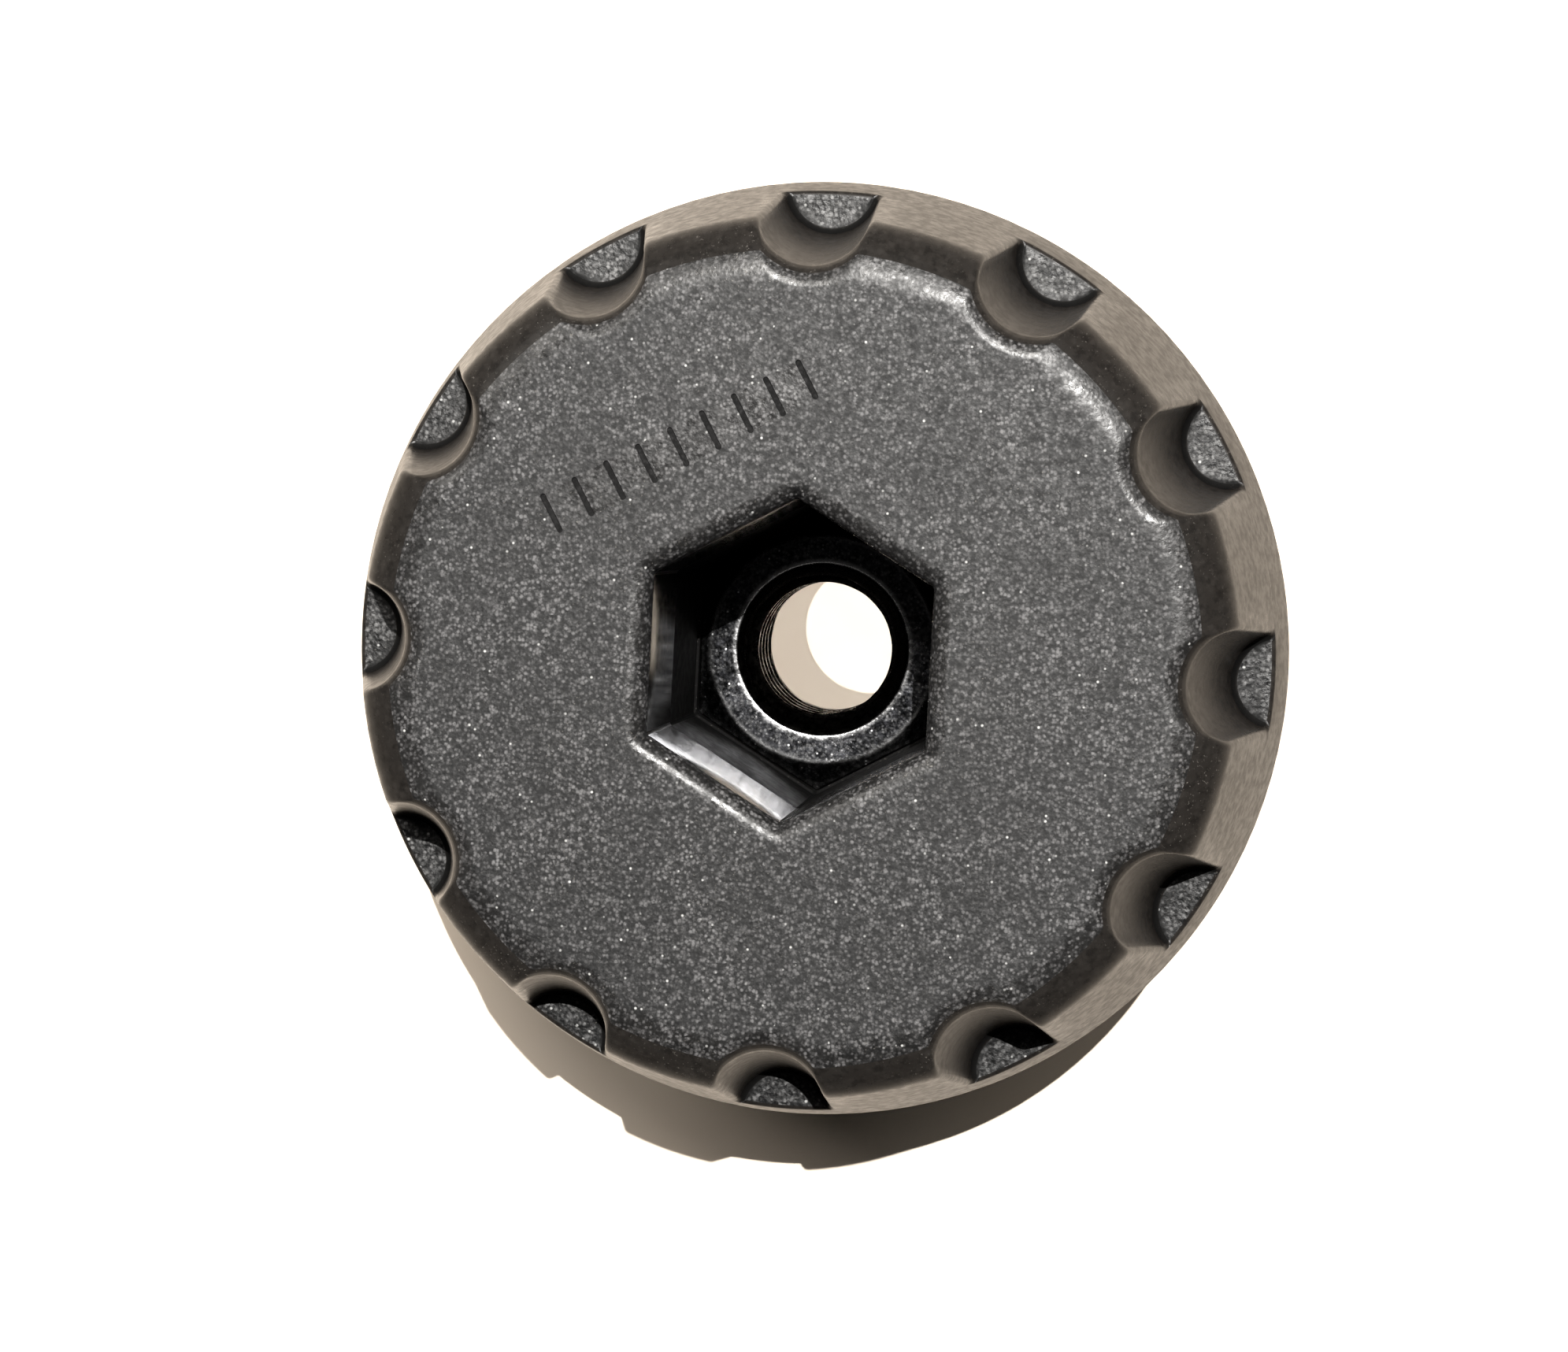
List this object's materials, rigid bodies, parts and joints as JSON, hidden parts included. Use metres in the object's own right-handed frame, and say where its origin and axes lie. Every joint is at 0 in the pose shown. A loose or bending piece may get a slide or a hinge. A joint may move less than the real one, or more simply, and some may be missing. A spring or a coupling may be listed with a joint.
{
  "type": "oil filter wrench",
  "caption": "Cap-type oil filter wrench: black plastic cup with inner flutes, a scalloped hand grip on top and a hexagonal socket with a captive steel nut at its bottom.",
  "frame": {"origin": "centre of the cup's mouth, on the plane of its rim", "axes": "+Z along the turning axis, from the mouth towards the grip's face; +Y through a corner of the hexagonal socket; +X through a scallop"},
  "size_m": [0.0724, 0.0724, 0.048],
  "materials": {
    "moulded_nylon": "glass-filled nylon, spark-eroded grain on the flat faces and smooth on the drafted walls",
    "nut_steel": "dark blue-grey steel with bright worn edges"
  },
  "bodies": {
    "root": {"cap": "moulded_nylon", "hex_nut": "nut_steel"}
  },
  "joints": []
}
